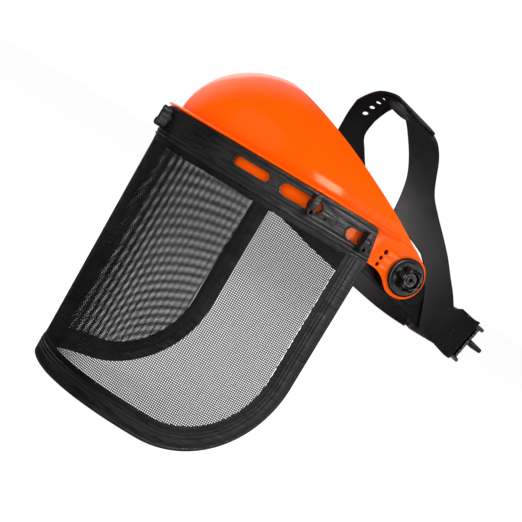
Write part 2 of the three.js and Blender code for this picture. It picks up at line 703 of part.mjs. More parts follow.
function visorAssembly() {
  const group = new THREE.Group();
  group.add(piece("brow_guard", browGuard(), "orange"));
  group.add(piece("visor_frame", visorFrame(), "black"));
  group.add(piece("visor_mesh", visorMesh(), "mesh"));
  for (const [name, place] of Object.entries(BUTTON_PLACES)) {
    group.add(piece("turn_button_" + name, turnButton(place), "black"));
    group.add(piece("button_clip_" + name, buttonClip(place), "steel"));
  }
  return group;
}

function hingeAssembly(side, sign) {
  const group = new THREE.Group();
  group.add(piece("hinge_bolt_" + side, toSide(hingeBolt(), sign), "steel"));
  group.add(piece("hinge_bushing_" + side, toSide(hingeBushing(), sign), "black"));
  group.add(piece("friction_washer_" + side, toSide(frictionWasher(), sign), "steel"));
  group.add(piece("side_knob_" + side, toSide(sideKnob(), sign), "black"));
  group.add(piece("knob_nut_" + side, toSide(knobNut(), sign), "nut"));
  return group;
}

// Mirrors a solid to the other side of the head.
function mirrored(geometry) {
  const flipped = geometry.clone().scale(-1, 1, 1);
  const index = flipped.index.array;
  for (let i = 0; i < index.length; i += 3) [index[i], index[i + 1]] = [index[i + 1], index[i]];
  return flipped;
}

function headgear() {
  const group = new THREE.Group();
  group.add(piece("headband_front", headbandFront(), "strap"));
  group.add(piece("headband_side_left", headbandLeft(), "strap"));
  group.add(piece("headband_side_right", headbandRight(), "strap"));
  group.add(piece("sweatband", sweatband(), "fabric"));
  group.add(piece("ratchet_plate", ratchetPlate(), "black"));
  group.add(piece("ratchet_cover", ratchetCover(), "black"));
  group.add(piece("ratchet_knob", ratchetKnob(), "black"));
  group.add(piece("ratchet_pinion", ratchetPinion(), "black"));
  group.add(piece("ratchet_screw", ratchetScrew(), "steel"));
  group.rotation.x = -rad(BAND.tilt);
  return group;
}

const faceShield = new THREE.Group();
faceShield.add(visorAssembly(), headgear(), hingeAssembly("left", 1), hingeAssembly("right", -1));
export default faceShield;
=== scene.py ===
"""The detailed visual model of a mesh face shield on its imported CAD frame. Shapes are made in millimetres."""
import math

import bmesh
import bpy
import numpy as np
from mathutils import Matrix, Vector


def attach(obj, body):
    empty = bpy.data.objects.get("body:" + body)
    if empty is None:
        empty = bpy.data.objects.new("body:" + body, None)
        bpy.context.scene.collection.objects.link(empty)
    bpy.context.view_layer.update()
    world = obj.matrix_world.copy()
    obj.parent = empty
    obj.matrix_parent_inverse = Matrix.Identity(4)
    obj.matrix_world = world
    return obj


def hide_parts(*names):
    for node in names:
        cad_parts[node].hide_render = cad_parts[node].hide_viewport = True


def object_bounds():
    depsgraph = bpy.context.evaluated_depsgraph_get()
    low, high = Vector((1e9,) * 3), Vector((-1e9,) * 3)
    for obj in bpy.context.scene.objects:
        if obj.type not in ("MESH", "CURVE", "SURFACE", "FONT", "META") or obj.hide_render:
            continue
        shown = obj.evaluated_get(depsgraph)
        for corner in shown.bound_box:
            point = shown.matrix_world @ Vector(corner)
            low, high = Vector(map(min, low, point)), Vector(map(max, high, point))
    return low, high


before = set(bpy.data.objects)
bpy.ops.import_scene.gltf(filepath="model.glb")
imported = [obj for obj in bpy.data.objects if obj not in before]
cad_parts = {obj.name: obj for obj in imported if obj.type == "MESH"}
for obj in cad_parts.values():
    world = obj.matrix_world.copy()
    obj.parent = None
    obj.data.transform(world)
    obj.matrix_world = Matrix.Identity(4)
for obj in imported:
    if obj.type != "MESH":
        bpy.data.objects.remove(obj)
cad_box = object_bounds()
MM = 0.001

# ---- dimensions of the part, as in its CAD ----
HALF_WIDTH, REAR_Y, VISOR_DEPTH, ROUND = 100.0, -33.5, 147.0, 2.2
TOP, BOTTOM, TAPER, THICK = 20.0, -193.0, 0.017 / 100, 2.4
BAND_LOW, BORDER, CORNER = -8.0, 18.0, 83.0
SLOTS = [(0, 10.2, 3.7, 3.6), (93, 10.2, 14, 3.3), (133, 10, 16.5, 4.5), (183, 7, 10.5, 4.5)]
BUTTONS = {
    "front": (0, 10.2), "mid_left": (141.5, 10.5), "rear_left": (187, 6.5),
    "mid_right": (-141.5, 10.5), "rear_right": (-187, 6.5),
}
WALL, DOME_HEIGHT, APEX_Y, REAR_SLOPE, ARM_END = 2.4, 61.0, -106.0, 0.537, 16.8
ARM_OUTER = 98.4
TILT = math.radians(11.8)
BAND_FRONT, BAND_REAR, BAND_HALF_WIDTH, BAND_ROUND = -106.0, 121.0, 84.0, 2.1
BAND_MIDDLE, BAND_HALF = (BAND_FRONT + BAND_REAR) / 2, (BAND_REAR - BAND_FRONT) / 2
SIDE_INNER, STRAP = 2.6, 1.6
CROWN_TOP = 100.5
NAPE_RISE = 7  # how much higher the band lies at the nape


def smoothstep(x, low, high):
    t = np.clip((np.asarray(x, float) - low) / (high - low), 0, 1)
    return t * t * (3 - 2 * t)


def mix(a, b, t):
    return a + (b - a) * t


# ---- mesh making ----
def gathered(parts):
    """Several (points, faces) as one."""
    points, faces, base = [], [], 0
    for some, theirs in parts:
        points.append(np.asarray(some, float))
        faces += [tuple(i + base for i in face) for face in theirs]
        base += len(some)
    return np.concatenate(points), faces


def plate(us, vs, place):
    """A closed curved plate; place(u, v, side) gives the points of its two faces, side 0 and side 1."""
    across, up = np.meshgrid(us, vs)
    points = np.concatenate([place(across.ravel(), up.ravel(), side) for side in (0, 1)])
    wide, high = len(us), len(vs)

    def at(i, j, side):
        return (side * high + j) * wide + i

    faces = []
    for j in range(high - 1):
        for i in range(wide - 1):
            faces.append((at(i, j, 0), at(i, j + 1, 0), at(i + 1, j + 1, 0), at(i + 1, j, 0)))
            faces.append((at(i, j, 1), at(i + 1, j, 1), at(i + 1, j + 1, 1), at(i, j + 1, 1)))
    for i in range(wide - 1):
        faces.append((at(i, 0, 0), at(i + 1, 0, 0), at(i + 1, 0, 1), at(i, 0, 1)))
        faces.append((at(i, high - 1, 0), at(i, high - 1, 1), at(i + 1, high - 1, 1), at(i + 1, high - 1, 0)))
    for j in range(high - 1):
        faces.append((at(0, j, 0), at(0, j, 1), at(0, j + 1, 1), at(0, j + 1, 0)))
        faces.append((at(wide - 1, j, 0), at(wide - 1, j + 1, 0), at(wide - 1, j + 1, 1), at(wide - 1, j, 1)))
    return points, faces


def sweep(path, profile, place):
    """A closed profile of (a, b) pairs carried along path; place(t, a, b) gives points."""
    count = len(profile)
    a, b = np.array(profile, float).T
    points = np.concatenate([place(np.full(count, t), a, b) for t in path])
    faces = []
    for k in range(len(path) - 1):
        for i in range(count):
            n = (i + 1) % count
            faces.append((k * count + i, k * count + n, (k + 1) * count + n, (k + 1) * count + i))
    last = (len(path) - 1) * count
    faces += [tuple(range(count))[::-1], tuple(range(last, last + count))]
    return points, faces


def turned(outline, lobes=0, segments=72):
    """A piece turned about +Z from (radius, height) or (radius, height, swell) rows.

    The swell is its lobes' height. Where the last row is the first one again, the piece is a ring.
    """
    rows = [(*row, 0.0)[:3] for row in outline]
    angle = np.linspace(0, 2 * math.pi, segments, endpoint=False)
    wave = np.cos(lobes * angle)
    points = np.concatenate([
        np.stack([(r + s * wave) * np.cos(angle), (r + s * wave) * np.sin(angle), np.full(segments, h)], 1)
        for r, h, s in rows
    ])
    faces = []
    for k in range(len(rows) - 1):
        for i in range(segments):
            n = (i + 1) % segments
            faces.append((k * segments + i, k * segments + n, (k + 1) * segments + n, (k + 1) * segments + i))
    if rows[0] != rows[-1]:
        last = (len(rows) - 1) * segments
        faces += [tuple(range(segments))[::-1], tuple(range(last, last + segments))]
    return points, faces


def flat_plate(loops, thick, bevel=0.4, us=(), vs=(), steps=2):
    """A flat plate of closed loops, 0 to thick along Z, with rounded edges.

    It is cut along the lines of us and vs, so that it can bend.
    """
    curve = bpy.data.curves.new("outline", "CURVE")
    curve.dimensions, curve.fill_mode = "2D", "BOTH"
    curve.extrude, curve.bevel_depth = thick / 2 - bevel, bevel
    curve.bevel_resolution, curve.offset = steps, -bevel
    for loop in loops:
        spline = curve.splines.new("POLY")
        spline.points.add(len(loop) - 1)
        for point, (u, v) in zip(spline.points, loop):
            point.co = (u, v, 0, 1)
        spline.use_cyclic_u = True
    maker = bpy.data.objects.new("outline", curve)
    bpy.context.scene.collection.objects.link(maker)
    bpy.context.view_layer.update()
    flat = bpy.data.meshes.new_from_object(maker.evaluated_get(bpy.context.evaluated_depsgraph_get()))
    bm = bmesh.new()
    bm.from_mesh(flat)
    bmesh.ops.remove_doubles(bm, verts=bm.verts, dist=1e-4)
    for axis, values in ((1, vs), (0, us)):
        for value in values:
            spot, normal = [0, 0, 0], [0, 0, 0]
            spot[axis], normal[axis] = value, 1
            everything = bm.verts[:] + bm.edges[:] + bm.faces[:]
            bmesh.ops.bisect_plane(bm, geom=everything, dist=1e-4, plane_co=spot, plane_no=normal)
    bm.verts.index_update()
    points = np.array([v.co for v in bm.verts], float)
    points[:, 2] += thick / 2
    faces = [tuple(v.index for v in face.verts) for face in bm.faces]
    bm.free()
    bpy.data.objects.remove(maker)
    bpy.data.curves.remove(curve)
    bpy.data.meshes.remove(flat)
    return points, faces


def stadium(half_length, half_width, steps=10, middle=(0, 0), upright=False):
    straight = half_length - half_width
    turn = np.linspace(-math.pi / 2, math.pi / 2, steps)
    right = [(straight + half_width * math.cos(t), half_width * math.sin(t)) for t in turn]
    loop = right + [(-u, -v) for u, v in right]
    return [(middle[0] - v, middle[1] + u) if upright else (middle[0] + u, middle[1] + v) for u, v in loop]


def circle(radius, middle=(0, 0), steps=24, tall=1.0):
    turn = np.linspace(0, 2 * math.pi, steps, endpoint=False)
    return [(middle[0] + radius * math.cos(t), middle[1] + tall * radius * math.sin(t)) for t in turn]


def piece(name, shape, body, materials, nodes=(), bevel=0.0, crease=38, pick=None):
    """A finished object of the shape; pick(points) chooses each face's material from its middle."""
    points, faces = shape
    mesh = bpy.data.meshes.new(name)
    mesh.from_pydata((np.asarray(points) * MM).tolist(), [], faces)
    bm = bmesh.new()
    bm.from_mesh(mesh)
    bmesh.ops.remove_doubles(bm, verts=bm.verts, dist=1e-6)
    bmesh.ops.recalc_face_normals(bm, faces=bm.faces[:])
    if bevel:
        sharp = [e for e in bm.edges if len(e.link_faces) == 2 and e.calc_face_angle(0) > math.radians(50)]
        bmesh.ops.bevel(bm, geom=sharp, offset=bevel * MM, segments=2, profile=0.6, affect="EDGES",
                        clamp_overlap=True)
    bm.to_mesh(mesh)
    bm.free()
    mesh.polygons.foreach_set("use_smooth", [True] * len(mesh.polygons))
    mesh.set_sharp_from_angle(angle=math.radians(crease))
    for material in materials if isinstance(materials, list) else [materials]:
        mesh.materials.append(material)
    if pick is not None:
        middles = np.array([p.center for p in mesh.polygons]) / MM
        mesh.polygons.foreach_set("material_index", [int(v) for v in pick(middles)])
    obj = bpy.data.objects.new(name, mesh)
    bpy.context.scene.collection.objects.link(obj)
    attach(obj, body)
    if nodes:
        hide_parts(*nodes)
    return obj


# ---- materials ----
def noise(nodes, links, coord, scale, detail=3.0, stretch=None):
    source = coord
    if stretch:
        mapping = nodes.new("ShaderNodeMapping")
        mapping.inputs["Scale"].default_value = stretch
        links.new(coord, mapping.inputs["Vector"])
        source = mapping.outputs["Vector"]
    node = nodes.new("ShaderNodeTexNoise")
    node.inputs["Scale"].default_value = scale
    node.inputs["Detail"].default_value = detail
    links.new(source, node.inputs["Vector"])
    return node.outputs["Fac"]


def ranged(nodes, links, value, low, high, to_low, to_high):
    node = nodes.new("ShaderNodeMapRange")
    for key, number in zip(("From Min", "From Max", "To Min", "To Max"), (low, high, to_low, to_high)):
        node.inputs[key].default_value = number
    links.new(value, node.inputs["Value"])
    return node.outputs["Result"]


def blended(nodes, links, factor, first, second):
    node = nodes.new("ShaderNodeMix")
    node.data_type = "RGBA"
    links.new(factor, node.inputs["Factor"])
    for key, value in (("A", first), ("B", second)):
        socket = [s for s in node.inputs if s.name == key and s.type == "RGBA"][0]
        if isinstance(value, tuple):
            socket.default_value = (*value, 1)
        else:
            links.new(value, socket)
    return [s for s in node.outputs if s.type == "RGBA"][0]


def moulded(name, dark, light, rough, grain, grain_size=1400, streaks=None, edge=None, metal=0.0, cloud=28,
            weave=None, specular=0.5, cavity=False):
    """Moulded, painted or ground stuff: cloudy colour, fine grain, uneven gloss and lighter worn edges.

    With cavity, the gloss is also drawn out in streaks and duller in hollows.
    """
    material = bpy.data.materials.new(name)
    material.use_nodes = True
    nodes, links = material.node_tree.nodes, material.node_tree.links
    shader = nodes["Principled BSDF"]
    coord = nodes.new("ShaderNodeTexCoord").outputs["Object"]
    cloudy = ranged(nodes, links, noise(nodes, links, coord, cloud), 0.35, 0.65, 0, 1)
    colour = blended(nodes, links, cloudy, dark, light)
    if edge:
        worn = nodes.new("ShaderNodeNewGeometry").outputs["Pointiness"]
        patch = ranged(nodes, links, noise(nodes, links, coord, 260), 0.42, 0.62, 0.0, 1.0)
        rim = ranged(nodes, links, worn, 0.53, 0.62, 0.0, 0.7)
        both = nodes.new("ShaderNodeMath")
        both.operation = "MULTIPLY"
        links.new(patch, both.inputs[0])
        links.new(rim, both.inputs[1])
        colour = blended(nodes, links, both.outputs[0], colour, edge)
    links.new(colour, shader.inputs["Base Color"])
    gloss = noise(nodes, links, coord, 90, 5.0, streaks)
    roughness = ranged(nodes, links, gloss, 0.3, 0.7, rough[0], rough[1])
    shader.inputs["Metallic"].default_value = metal
    if cavity:
        hollow = nodes.new("ShaderNodeNewGeometry").outputs["Pointiness"]
        deep = ranged(nodes, links, hollow, 0.44, 0.5, 0.6, 0.0)
        drawn = ranged(nodes, links, noise(nodes, links, coord, 55, 6.0, (1, 1, 12)), 0.35, 0.65, 0.5, -0.08)
        for more in (deep, drawn):
            duller = nodes.new("ShaderNodeMath")
            duller.operation = "ADD"
            links.new(roughness, duller.inputs[0])
            links.new(more, duller.inputs[1])
            roughness = duller.outputs[0]
    links.new(roughness, shader.inputs["Roughness"])
    shader.inputs["Specular IOR Level"].default_value = specular
    bump = nodes.new("ShaderNodeBump")
    bump.inputs["Strength"].default_value = grain
    bump.inputs["Distance"].default_value = 0.0003
    height = noise(nodes, links, coord, grain_size, 2.0, streaks)
    if weave:
        cells = nodes.new("ShaderNodeTexVoronoi")
        cells.inputs["Scale"].default_value = weave
        links.new(coord, cells.inputs["Vector"])
        height = cells.outputs["Distance"]
    links.new(height, bump.inputs["Height"])
    links.new(bump.outputs["Normal"], shader.inputs["Normal"])
    return material


orange = moulded("orange_shell", (0.93, 0.088, 0.0008), (0.97, 0.100, 0.0012), (0.09, 0.15), 0.03, 500,
                 cloud=14, specular=0.16)
black = moulded("black_frame", (0.0030, 0.0030, 0.0034), (0.0075, 0.0075, 0.0085), (0.24, 0.52), 0.30, 900,
                streaks=(1, 1, 9), edge=(0.05, 0.05, 0.054), cloud=40, specular=0.75, cavity=True)
orange.node_tree.nodes["Principled BSDF"].inputs["Specular Tint"].default_value = (1, 0.86, 0.6, 1)
rim_black = moulded("embedded_mesh_rim", (0.002, 0.002, 0.0025), (0.006, 0.006, 0.007), (0.45, 0.65), 0.9,
                    weave=850, specular=0.35)
strap = moulded("black_strap", (0.0065, 0.0060, 0.0066), (0.0115, 0.0100, 0.0102), (0.40, 0.56), 0.10, 1100,
                edge=(0.07, 0.065, 0.065), cloud=16, specular=0.35)
# A darker copy of the strap plastic, which is painted shade: it stands in for the shadow on the front strap and
# the hinge tabs.
strap_painted_shade = moulded("black_strap_painted_shade", (0.0012, 0.0012, 0.0015), (0.003, 0.003, 0.0034), (0.36, 0.5), 0.08,
                     1100, specular=0.2)
gloss_black = moulded("black_knob", (0.002, 0.002, 0.0024), (0.006, 0.006, 0.0065), (0.2, 0.34), 0.06, 700,
                      edge=(0.06, 0.06, 0.06), specular=0.4)
wire = moulded("wire_mesh", (0.003, 0.003, 0.004), (0.009, 0.008, 0.011), (0.35, 0.55), 0.15, 1800, cloud=60,
               specular=0.3)
steel = moulded("steel", (0.42, 0.42, 0.43), (0.56, 0.56, 0.57), (0.22, 0.42), 0.16, 1500,
                streaks=(1, 12, 12), edge=(0.75, 0.75, 0.76), metal=1.0, cloud=120)
dark_steel = moulded("blackened_steel", (0.012, 0.012, 0.013), (0.03, 0.03, 0.032), (0.25, 0.42), 0.16, 1500,
                     edge=(0.3, 0.3, 0.3), metal=1.0, cloud=120)
nut = moulded("dark_nut", (0.014, 0.013, 0.014), (0.034, 0.032, 0.034), (0.25, 0.45), 0.12, 1300,
              edge=(0.13, 0.12, 0.12), metal=1.0, cloud=150)


# ---- the visor's surface ----
def open_oval(half_width, depth):
    t = np.linspace(0, math.pi / 2, 1201)
    x = half_width * np.sin(t) ** (2 / ROUND)
    y = REAR_Y - depth * np.cos(t) ** (2 / ROUND)
    walked = np.concatenate([[0], np.cumsum(np.hypot(np.diff(x), np.diff(y)))])
    nx, ny = np.gradient(y, walked), -np.gradient(x, walked)
    size = np.hypot(nx, ny)
    nx, ny = nx / size, ny / size
    nx[0], ny[0], nx[-1], ny[-1] = 0, -1, 1, 0
    return x, y, walked, nx, ny


PLAN = open_oval(HALF_WIDTH, VISOR_DEPTH)
DOME_PLAN = open_oval(HALF_WIDTH - 3, VISOR_DEPTH - 7)
SHEET = PLAN[2][-1]


def along(rows, s):
    x, y, walked, nx, ny = rows
    s = np.asarray(s, float)
    far, sign = np.abs(s), np.where(s < 0, -1.0, 1.0)
    beyond = np.maximum(0, far - walked[-1])
    return (sign * np.interp(far, walked, x), np.interp(far, walked, y) + beyond,
            sign * np.interp(far, walked, nx), np.interp(far, walked, ny))


def on_visor(s, z, out):
    x, y, nx, ny = along(PLAN, s)
    y = REAR_Y + (y - REAR_Y) * (1 + TAPER * (z - TOP))
    return np.stack([x + nx * out, y + ny * out, z + 0 * x], 1)


def standing(shape, s, z, out=0.0):
    """A shape made about the origin with +Z out, on the visor at s and z."""
    points, faces = shape
    nx, ny = (float(v) for v in along(PLAN, s)[2:])
    outward, upward = np.array([nx, ny, 0.0]), np.array([0, 0, 1.0])
    sideways = np.cross(upward, outward)
    foot = on_visor(np.array([float(s)]), z, out)[0]
    points = np.asarray(points)
    placed = foot + points[:, :1] * sideways + points[:, 1:2] * upward + points[:, 2:3] * outward
    return placed, faces


# ---- brow guard ----
def dome_point(s, lift):
    """A point of the dome's skin: s along its foot, and lift, the angle from its foot to its crown."""
    x, y = along(DOME_PLAN, s)[:2]
    middle = 0.5 * (y + APEX_Y + np.sqrt((y - APEX_Y) ** 2 + 14 ** 2))
    c, z = np.cos(lift), TOP + 1 + DOME_HEIGHT * np.sin(lift)
    y = middle + (y - middle) * c
    x = x * c * mix(1.0, ARM_OUTER / 97.0, smoothstep(y, -60, -28))
    return np.stack([x, y, z + 0 * x], 1)


def dome_shell():
    """The dome, cut off at the back by the slanted plane that runs down to the arms' round ends."""
    reach = np.linspace(0, SHEET + 60, 1500)
    rear_top = ARM_END * 0.97 / math.cos(math.atan(REAR_SLOPE))
    lifts, ends = [], []
    for lift in np.radians(np.linspace(0, 86, 700)):
        y = dome_point(reach, lift)[:, 1]
        rear = (rear_top - TOP - 1 - DOME_HEIGHT * math.sin(lift)) / REAR_SLOPE
        if y[0] > rear:
            break
        lifts.append(lift)
        ends.append(np.interp(rear, y, reach))
    lifts, ends = np.array(lifts), np.array(ends)
    arc = np.concatenate([[0], np.cumsum(np.hypot(np.diff(lifts) * 70, np.diff(ends)))])
    rows = np.interp(np.linspace(0, arc[-1], 56), arc, lifts)
    widths = np.interp(rows, lifts, ends)
    widths[-1] = 1e-3
    count = 141
    share = np.linspace(-1, 1, count)
    points = np.concatenate([dome_point(share * w, np.full(count, l)) for l, w in zip(rows, widths)])
    faces = [
        (j * count + i, j * count + i + 1, (j + 1) * count + i + 1, (j + 1) * count + i)
        for j in range(len(rows) - 1) for i in range(count - 1)
    ]
    mesh = bpy.data.meshes.new("dome")
    mesh.from_pydata(points.tolist(), [], faces)
    bm = bmesh.new()
    bm.from_mesh(mesh)
    bmesh.ops.remove_doubles(bm, verts=bm.verts, dist=0.02)
    bmesh.ops.recalc_face_normals(bm, faces=bm.faces[:])
    middle = bm.faces[len(bm.faces) // 2]
    if middle.normal.dot(middle.calc_center_median() - Vector((0, -90, 20))) < 0:
        bmesh.ops.reverse_faces(bm, faces=bm.faces[:])
    bm.to_mesh(mesh)
    bm.free()
    maker = bpy.data.objects.new("dome", mesh)
    bpy.context.scene.collection.objects.link(maker)
    solid = maker.modifiers.new("wall", "SOLIDIFY")
    solid.thickness, solid.offset, solid.use_even_offset = WALL, -1, True
    bpy.context.view_layer.update()
    made = bpy.data.meshes.new_from_object(maker.evaluated_get(bpy.context.evaluated_depsgraph_get()))
    result = np.array([v.co for v in made.vertices], float), [tuple(p.vertices) for p in made.polygons]
    bpy.data.objects.remove(maker)
    return result


def arm(sign):
    slope = math.atan(REAR_SLOPE)
    loop = [(REAR_Y - 5, TOP + 1), (REAR_Y - 5, -5), (-27, -5)]
    for t in np.linspace(0.15, 1, 7):
        a, b, c = (-27, -5), (-17, -6), (-12, -ARM_END * 0.7)
        loop.append(tuple((1 - t) ** 2 * p + 2 * t * (1 - t) * q + t * t * r for p, q, r in zip(a, b, c)))
    for t in np.linspace(math.pi * 1.28, 2.5 * math.pi - slope, 40):
        loop.append((ARM_END * math.cos(t), ARM_END * math.sin(t)))
    loop.append(((ARM_END / math.cos(slope) - TOP - 1) / REAR_SLOPE, TOP + 1))
    holes = [circle(4.6)]
    for angle, radius, tall in ((160, 1.9, 1.0), (172.5, 1.55, 1.15), (184.5, 1.55, 1.1)):
        middle = (24.6 * math.cos(math.radians(angle)), 24.6 * math.sin(math.radians(angle)))
        holes.append(circle(radius, middle, 16, tall))
    points, faces = flat_plate([loop, *holes], WALL, 0.35)
    return np.stack([sign * (ARM_OUTER - WALL + points[:, 2]), points[:, 0], points[:, 1]], 1), faces


def lip():
    half = SHEET + 15.5
    low = TOP + 0.4
    path = np.concatenate([np.linspace(-half, -half + 26, 16), np.linspace(-half + 28, half - 28, 200),
                           np.linspace(half - 26, half, 16)])

    def place(s, share, height):
        x, y, nx, ny = along(PLAN, s)
        fade = np.clip((half - np.abs(s)) / 25, 0, 1) ** 0.5
        inner = -9 + 4 * np.minimum(1, np.abs(s) / SHEET)
        out = inner + (mix(-1.2, 3.0, fade) - inner) * share
        return np.stack([x + nx * out, y + ny * out, low + height + 0 * x], 1)

    profile = [(0, 0), (0.82, 0), (0.93, 0.15), (1, 0.75), (1, 1.3), (0.95, 1.9), (0.84, 2.2), (0.5, 2.3),
               (0, 2.6)]
    return sweep(path, profile, place)


def nub(s):
    shape = turned([(1.3, 0), (1.3, 0.5), (0.9, 0.9), (0.3, 1.0)], segments=16)
    return standing(shape, s, TOP + 1.4, 2.9)


def skirt():
    def place(s, z, side):
        return on_visor(s, z, -THICK / 2 - 0.4 - WALL * (1 - side))

    return plate(np.linspace(-SHEET - 1, SHEET + 1, 200), [-5, -4, 4, 12, 21.5], place)


brow = gathered([dome_shell(), arm(1), arm(-1), lip(), skirt()] + [nub(s) for s in (93, 139, -93, -139)])
piece("brow_shell", brow, "visor", orange, ["brow_guard"])


# ---- visor frame ----
# Height over the sheet's outer face along the band, from its lower edge up.
BAND_RELIEF = [
    (-8, -0.75), (-4.2, -0.7), (-3.4, 0.05), (-2.2, 0.1), (-1.6, -0.35), (-0.9, -0.35), (-0.3, 0.1),
    (0.9, 0.1), (1.4, -0.3), (2.0, -0.3), (2.5, 0), (17.2, 0), (17.7, 0.25), (19.0, 0.3), (20, 0),
]
RELIEF_Z, RELIEF_OUT = np.array(BAND_RELIEF).T


def ragged(s):
    return 0.28 * np.sin(s * 1.31) + 0.22 * np.sin(s * 2.17 + 1.3) + 0.18 * np.sin(s * 0.53 + 0.4)


def slant(z):
    """How far the band's rear end is cut back at height z: slanted, with a rounded upper corner."""
    t = 1 - np.sqrt(np.clip(1 - (z - 15) / 5, 0, 1))
    return np.where(z < 15, np.clip(z + 5, 0, None) * 4.5 / 20, 4.5 + 5 * t * t)


def band_plate():
    heights = [-8, -5, 0, 5, 10, 14, 15, 16.5, 17.8, 18.8, 19.5, 19.9, 20]
    right = [(SHEET - float(slant(np.array(z))), z) for z in heights]
    low_edge = [(s, -8 + ragged(s)) for s in np.arange(-SHEET + 20, SHEET - 19, 1.6)]
    loop = low_edge + right + [(-s, z) for s, z in right[::-1]]
    holes = []
    for middle, z, half_length, half_height in SLOTS:
        for sign in (1, -1) if middle else (1,):
            holes.append(stadium(half_length, half_height, 12, (sign * middle, z)))
    holes += [circle(1.0, (sign * 154.3, 6.0), 12) for sign in (1, -1)]
    points, faces = flat_plate([loop, *holes], THICK, 0.35, np.arange(-196, 197, 2.8), RELIEF_Z[1:-1])
    s, z, w = points.T
    relief = np.interp(z, RELIEF_Z, RELIEF_OUT) * (w > THICK * 0.6)
    return on_visor(s, z, w - THICK / 2 + relief), faces


def rim_round(loop, width=1.5, high=0.75):
    """A raised rim along a closed loop on the visor."""
    loop = np.array(loop)
    ahead = np.roll(loop, -1, 0) - np.roll(loop, 1, 0)
    side = np.stack([ahead[:, 1], -ahead[:, 0]], 1) / np.linalg.norm(ahead, axis=1)[:, None]
    section = [(0, -0.3), (0, high * 0.75), (0.3, high), (width - 0.5, high), (width, high * 0.4),
               (width, -0.3)]
    points = np.concatenate([on_visor(*(loop + side * a).T, THICK / 2 + b) for a, b in section])
    count = len(loop)
    faces = []
    for k in range(len(section)):
        near, far = k * count, (k + 1) % len(section) * count
        faces += [(near + i, near + (i + 1) % count, far + (i + 1) % count, far + i) for i in range(count)]
    return points, faces


def border_place(u, inset, out):
    """A point of the rim, inset from its edge: u runs down one side, along the bottom and up the other."""
    high = BAND_LOW + 2
    legs = (high - (BOTTOM + CORNER), CORNER * math.pi / 2, SHEET - CORNER)
    total = sum(legs)
    sign = np.where(u < 0.5, -1.0, 1.0)
    walked = total * (1 - np.abs(2 * u - 1))
    inset = np.where(inset > 17.9, inset + ragged(u * 700), inset)
    half, low, radius = SHEET - inset, BOTTOM + inset, CORNER - inset
    angle = np.clip((walked - legs[0]) / CORNER, 0, math.pi / 2)
    rest = np.clip((walked - legs[0] - legs[1]) / legs[2], 0, 1)
    s = sign * ((half - radius) + radius * np.cos(angle))
    s = np.where(rest > 0, sign * (half - radius) * (1 - rest), s)
    side_z = mix(high, low + radius, walked / legs[0])
    z = np.where(walked < legs[0], side_z, low + radius - radius * np.sin(angle))
    return on_visor(s, z, out)


def border_sweep():
    outer = [(0, 0.7), (0.5, 1.2), (1.6, 1.35), (2.2, 1.0), (2.8, 1.0), (3.4, 1.3), (8.2, 1.3), (8.7, 0.85),
             (9.5, 0.85), (10.0, 1.35), (11.0, 1.35), (11.5, 0.9), (12.2, 0.9), (12.8, 1.2), (13.6, 1.15),
             (14.1, 0.5), (16, 0.55), (17.5, 0.5), (18, 0.25)]
    inner = [(18, -0.25), (17.5, -0.5), (14, -0.6), (13.5, -1.2), (9, -1.2), (8.5, -0.9), (7.8, -0.9),
             (7.3, -1.2), (0.5, -1.2), (0, -0.7)]
    return sweep(np.linspace(0, 1, 430), outer + inner, border_place)


frame_parts = [band_plate(), border_sweep()]
for middle, z, half_length, half_height in SLOTS[1:]:
    for sign in (1, -1):
        frame_parts.append(rim_round(stadium(half_length, half_height, 14, (sign * middle, z))))
for sign in (1, -1):
    frame_parts.append(rim_round(circle(3.0, (sign * 160.3, 8.9), 28), 0.7, 0.4))


def embedded(middles):
    """Faces of the thin inner edge, where the wire shows through the moulding."""
    s_of = np.interp(middles[:, 1], PLAN[1], PLAN[2])
    from_side, from_low = SHEET - s_of, middles[:, 2] - BOTTOM
    near = np.where((from_side < CORNER) & (from_low < CORNER),
                    CORNER - np.hypot(CORNER - from_side, CORNER - from_low), np.minimum(from_side, from_low))
    return ((near > 14.0) & (middles[:, 2] < -3.9)).astype(int)


piece("visor_border", gathered(frame_parts), "visor", [black, rim_black], ["visor_frame"],
      pick=embedded)


# ---- woven wire mesh ----
PITCH, WIRE, SWAY = 1.5, 0.385, 0.22  # spacing, radius, and how far a wire weaves in and out


def wires(upright):
    """All upright or all level wires, each a three-sided rod that goes over and under the others."""
    inset = BORDER - 1.2
    half, low, radius = SHEET - inset, BOTTOM + inset, CORNER - inset
    ss = np.arange(-120, 121) * PITCH
    zs = BAND_LOW + 1.2 - np.arange(0, 114) * PITCH
    s, z = np.meshgrid(ss, zs, indexing="ij" if upright else "xy")
    past = np.maximum(0, np.abs(s) - (half - radius))
    foot = low + radius - np.sqrt(np.maximum(0, radius**2 - past**2))
    inside = (z >= foot - 0.8) & (np.abs(s) <= half)
    parity = np.add.outer(np.arange(s.shape[0]), np.arange(s.shape[1])) % 2 * 2 - 1
    out = SWAY * parity if upright else -SWAY * parity
    rows, columns = s.shape
    corners = []
    for k in range(3):
        angle = 2 * math.pi * k / 3 + math.pi / 6
        a, b = WIRE * math.cos(angle), WIRE * math.sin(angle)
        corners.append(on_visor((s + (a if upright else 0)).ravel(), (z + (0 if upright else a)).ravel(),
                                (out + b).ravel()))
    points = np.stack(corners, 1)
    index = -np.ones(rows * columns, int)
    kept = np.flatnonzero(inside.ravel())
    index[kept] = np.arange(len(kept))
    index = index.reshape(rows, columns)
    first, second = index[:, :-1], index[:, 1:]
    both = (first >= 0) & (second >= 0)
    a, b = first[both] * 3, second[both] * 3
    faces = np.concatenate([np.stack([a + k, a + (k + 1) % 3, b + (k + 1) % 3, b + k], 1) for k in range(3)])
    return points[kept].reshape(-1, 3), [tuple(f) for f in faces.tolist()]


for name, upright in (("mesh_wires_upright", True), ("mesh_wires_level", False)):
    piece(name, wires(upright), "visor", wire, ["visor_mesh"], crease=180)


